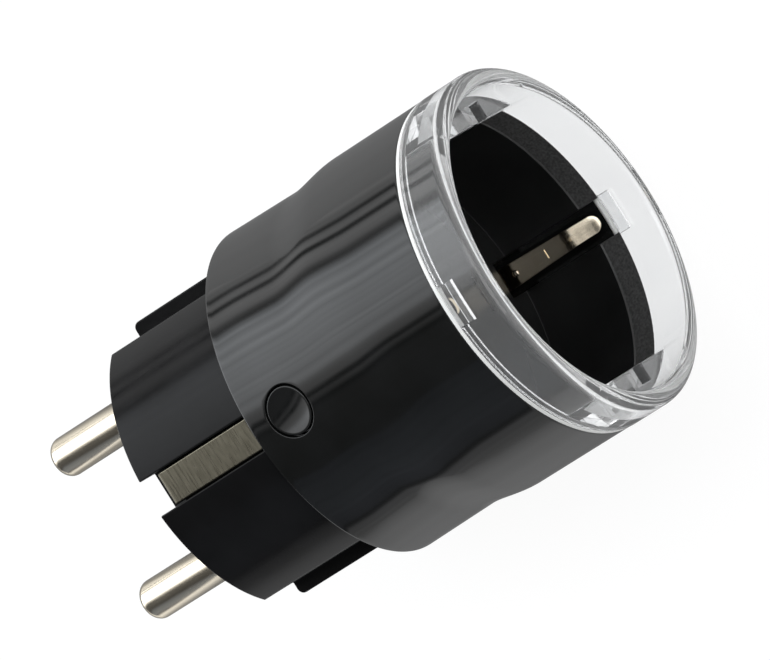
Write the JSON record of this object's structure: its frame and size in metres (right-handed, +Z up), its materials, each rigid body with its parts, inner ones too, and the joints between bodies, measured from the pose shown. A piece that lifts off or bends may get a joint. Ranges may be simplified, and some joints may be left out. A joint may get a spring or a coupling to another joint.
{
  "type": "smart plug",
  "caption": "Round plug-in smart switch with two round pins, side earth contacts, recessed earthed socket, clear light ring and a push button.",
  "frame": {"origin": "centre of the plug base's rear face, the face that seats in a wall socket", "axes": "+Y out of the rear face along the two pins, so the socket mouth and light ring face -Y; +X along the line of the two pins; +Z up through the push button"},
  "size_m": [0.0426, 0.0718, 0.0426],
  "materials": {
    "housing_plastic": "glossy moulded black",
    "base_plastic": "satin moulded black",
    "insert_plastic": "satin moulded black",
    "button_plastic": "glossy moulded black",
    "clear_plastic": "polished clear polycarbonate",
    "diffuser_white": "translucent white",
    "nickel": "nickel-plated brass",
    "earth_metal": "nickel-plated strip",
    "clip_metal": "nickel-plated spring strip",
    "insulator": "moulded black",
    "switch_body": "moulded black",
    "shutter_plastic": "moulded black",
    "screw_steel": "zinc-plated",
    "spring_steel": "bright wire",
    "contact_brass": "rolled brass",
    "board_green": "solder mask",
    "board_white": "white solder mask",
    "shield_can": "tinned can",
    "relay_case": "moulded blue",
    "capacitor_sleeve": "shrink sleeve",
    "ferrite": "sintered",
    "fuse_body": "glazed",
    "varistor_coating": "epoxy dip",
    "shunt_alloy": "manganin",
    "led_lens": "moulded lens"
  },
  "bodies": {
    "plug_body": {"plug_base": "base_plastic", "pin_left": "nickel", "pin_right": "nickel", "pin_clamp_plate": "insulator", "earth_contact_top": "earth_metal", "earth_contact_bottom": "earth_metal", "earth_bridge": "earth_metal", "earth_yoke": "earth_metal", "housing_shell": "housing_plastic", "button_switch": "switch_body", "diffuser_ring": "diffuser_white", "light_ring": "clear_plastic", "light_guide_left": "clear_plastic", "light_guide_right": "clear_plastic", "socket_insert": "insert_plastic", "shutter_screw": "screw_steel", "shutter_spring": "spring_steel", "contact_sleeve_left": "contact_brass", "contact_sleeve_right": "contact_brass", "main_board": "board_green", "control_board": "board_green", "radio_module": "shield_can", "relay": "relay_case", "capacitors": "capacitor_sleeve", "inductor": "ferrite", "fuse": "fuse_body", "varistor": "varistor_coating", "current_shunt": "shunt_alloy", "led_board": "board_white", "leds": "led_lens"},
    "power_button": {"power_button": "button_plastic"},
    "top_earth_spring": {"earth_clip_top": "clip_metal"},
    "bottom_earth_spring": {"earth_clip_bottom": "clip_metal"},
    "shutter": {"safety_shutter": "shutter_plastic"}
  },
  "joints": [
    {"name": "button_press", "type": "slide", "parent": "plug_body", "child": "power_button", "axis": [0, 0, -1], "range_m": [0, 0.0005], "stiffness_N_per_m": 900, "springref_m": -0.001},
    {"name": "top_earth_flex", "type": "hinge", "parent": "plug_body", "child": "top_earth_spring", "pos_m": [0, -0.0297, 0.0176], "axis": [-1, 0, 0], "range_deg": [0, 3], "stiffness_Nm_per_rad": 1.6, "springref_deg": -5.73},
    {"name": "bottom_earth_flex", "type": "hinge", "parent": "plug_body", "child": "bottom_earth_spring", "pos_m": [0, -0.0297, -0.0176], "axis": [1, 0, 0], "range_deg": [0, 3], "stiffness_Nm_per_rad": 1.6, "springref_deg": -5.73},
    {"name": "shutter_turn", "type": "hinge", "parent": "plug_body", "child": "shutter", "pos_m": [0, -0.03, 0], "axis": [0, 1, 0], "range_deg": [0, 40], "stiffness_Nm_per_rad": 0.02, "springref_deg": -28.65}
  ]
}
